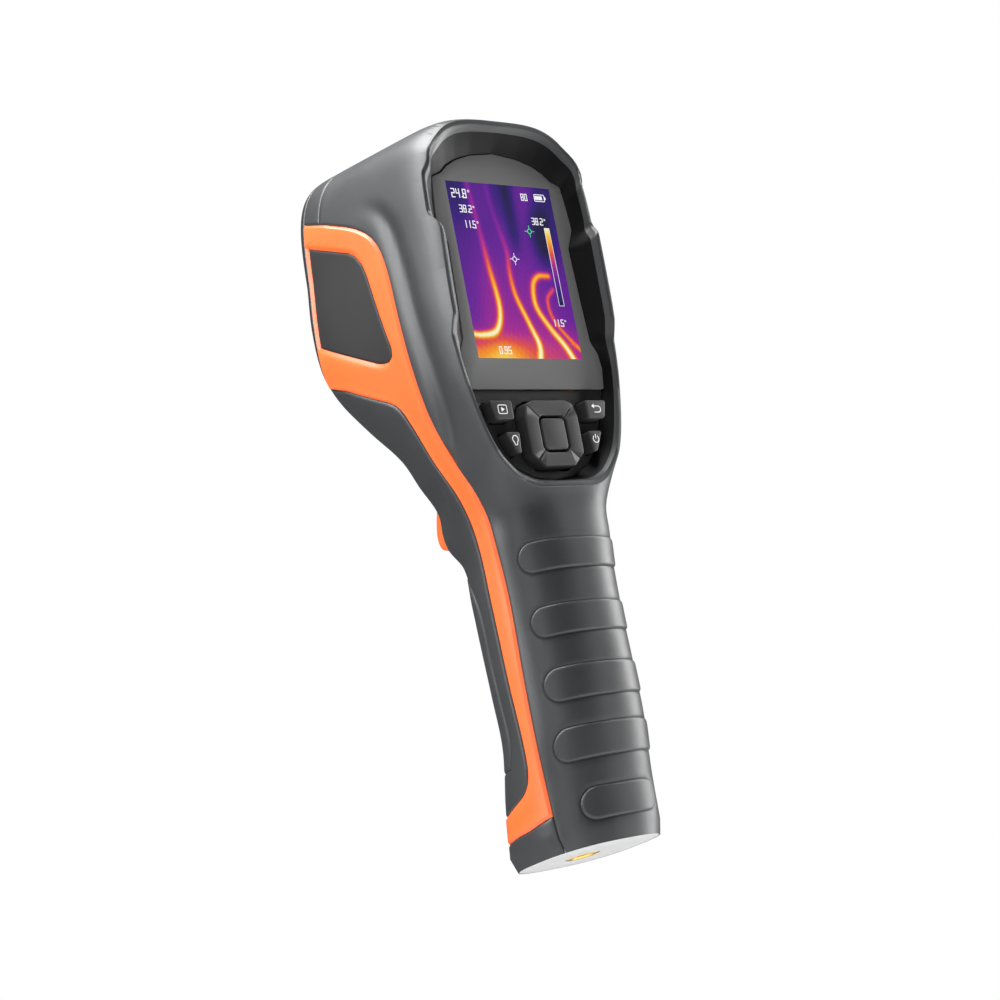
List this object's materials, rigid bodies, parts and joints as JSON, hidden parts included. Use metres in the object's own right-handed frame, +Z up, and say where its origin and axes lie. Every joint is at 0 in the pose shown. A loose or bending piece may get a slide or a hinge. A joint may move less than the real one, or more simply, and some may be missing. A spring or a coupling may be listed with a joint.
{
  "type": "thermal imaging camera",
  "caption": "Hand-held thermal imaging camera: display and keypad on a tilted head, germanium lens and lamp at the front, pistol grip with trigger, flat base with tripod socket.",
  "frame": {"origin": "centre of the tripod socket's mouth, on the flat base face", "axes": "+Z up out of the base along the handle, +Y forward from the display towards the lens, +X to the right of someone looking at the display"},
  "size_m": [0.0604, 0.0725, 0.204],
  "materials": {
    "shell": "fine textured moulding",
    "bezel": "fine textured moulding",
    "trim": "satin moulded orange",
    "inlay": "satin dark inlay",
    "grip": "soft overmoulded grip",
    "window_glass": "printed cover glass",
    "gasket": "foam",
    "display_panel": "lit false-colour display",
    "keypad": "fine textured moulding",
    "key": "silicone keys with printed marks",
    "key_dark": "moulded",
    "membrane": "silicone",
    "contact_metal": "plated spring contact",
    "circuit_board": "green solder mask",
    "cast_frame": "die cast",
    "detector_package": "ceramic package with gold lid",
    "barrel": "anodised black",
    "germanium": "coated germanium",
    "blade": "flat black",
    "motor": "plated can",
    "camera_module": "moulded",
    "small_window": "clear window",
    "led": "phosphor and package",
    "lamp_plastic": "clear moulded lens",
    "steel": "plain steel",
    "switch_plastic": "moulded",
    "cradle": "moulded",
    "cell_sleeve": "shrink sleeve",
    "insert_brass": "turned brass",
    "soft_cover": "soft moulded cover",
    "socket_steel": "stamped shield",
    "screw_steel": "zinc plated"
  },
  "bodies": {
    "camera": {"rear_shell": "shell", "front_shell": "shell", "front_bezel": "bezel", "side_trim_left": "trim", "side_trim_right": "trim", "side_inlay_left": "inlay", "side_inlay_right": "inlay", "front_grip": "grip", "display_window": "window_glass", "display_gasket": "gasket", "lcd_module": "display_panel", "keypad_panel": "keypad", "keypad_membrane": "membrane", "dome_switches": "contact_metal", "key_board": "circuit_board", "main_board": "circuit_board", "core_housing": "cast_frame", "detector_board": "circuit_board", "detector": "detector_package", "lens_barrel": "barrel", "germanium_lens": "germanium", "lens_retainer": "barrel", "shutter_motor": "motor", "visible_camera": "camera_module", "camera_window": "small_window", "lamp_led": "led", "lamp_lens": "lamp_plastic", "trigger_pin": "steel", "trigger_spring": "steel", "trigger_switch": "switch_plastic", "battery_cradle": "cradle", "battery_cell": "cell_sleeve", "battery_contacts": "contact_metal", "tripod_insert": "insert_brass", "port_board": "circuit_board", "usb_socket": "socket_steel", "card_socket": "socket_steel", "shell_screws": "screw_steel", "board_screws": "screw_steel"},
    "play_key": {"key_play": "key"},
    "light_key": {"key_light": "key"},
    "back_key": {"key_back": "key"},
    "power_key": {"key_power": "key"},
    "ok_key": {"nav_ok": "key"},
    "nav_rocker": {"nav_collar": "key_dark"},
    "nav_top": {"nav_ring": "key"},
    "trigger_lever": {"trigger": "trim"},
    "port_flap": {"port_cover": "soft_cover"},
    "shutter": {"shutter_blade": "blade"}
  },
  "joints": [
    {"name": "play_press", "type": "slide", "parent": "camera", "child": "play_key", "axis": [0, 0.9914, 0.1305], "range_m": [0, 0.0008], "stiffness_N_per_m": 250},
    {"name": "light_press", "type": "slide", "parent": "camera", "child": "light_key", "axis": [0, 0.9914, 0.1305], "range_m": [0, 0.0008], "stiffness_N_per_m": 250},
    {"name": "back_press", "type": "slide", "parent": "camera", "child": "back_key", "axis": [0, 0.9914, 0.1305], "range_m": [0, 0.0008], "stiffness_N_per_m": 250},
    {"name": "power_press", "type": "slide", "parent": "camera", "child": "power_key", "axis": [0, 0.9914, 0.1305], "range_m": [0, 0.0008], "stiffness_N_per_m": 250},
    {"name": "ok_press", "type": "slide", "parent": "camera", "child": "ok_key", "axis": [0, 0.9914, 0.1305], "range_m": [0, 0.0008], "stiffness_N_per_m": 250},
    {"name": "nav_up_down", "type": "hinge", "parent": "camera", "child": "nav_rocker", "pos_m": [0, -0.02893, 0.10617], "axis": [1, 0, 0], "range_deg": [-2.5, 2.5]},
    {"name": "nav_left_right", "type": "hinge", "parent": "nav_rocker", "child": "nav_top", "pos_m": [0, -0.02893, 0.10617], "axis": [0, -0.1305, 0.9914], "range_deg": [-2.5, 2.5]},
    {"name": "trigger_pull", "type": "hinge", "parent": "camera", "child": "trigger_lever", "pos_m": [0, 0.005, 0.1055], "axis": [-1, 0, 0], "range_deg": [0, 9]},
    {"name": "cover_hinge", "type": "hinge", "parent": "camera", "child": "port_flap", "pos_m": [0.019, -0.03366, 0.19115], "axis": [0, 0.9744, 0.225], "range_deg": [0, 75]},
    {"name": "shutter_swing", "type": "hinge", "parent": "camera", "child": "shutter", "pos_m": [0.012, -0.01325, 0.18365], "axis": [0, 0.9744, 0.225], "range_deg": [0, 40]}
  ]
}
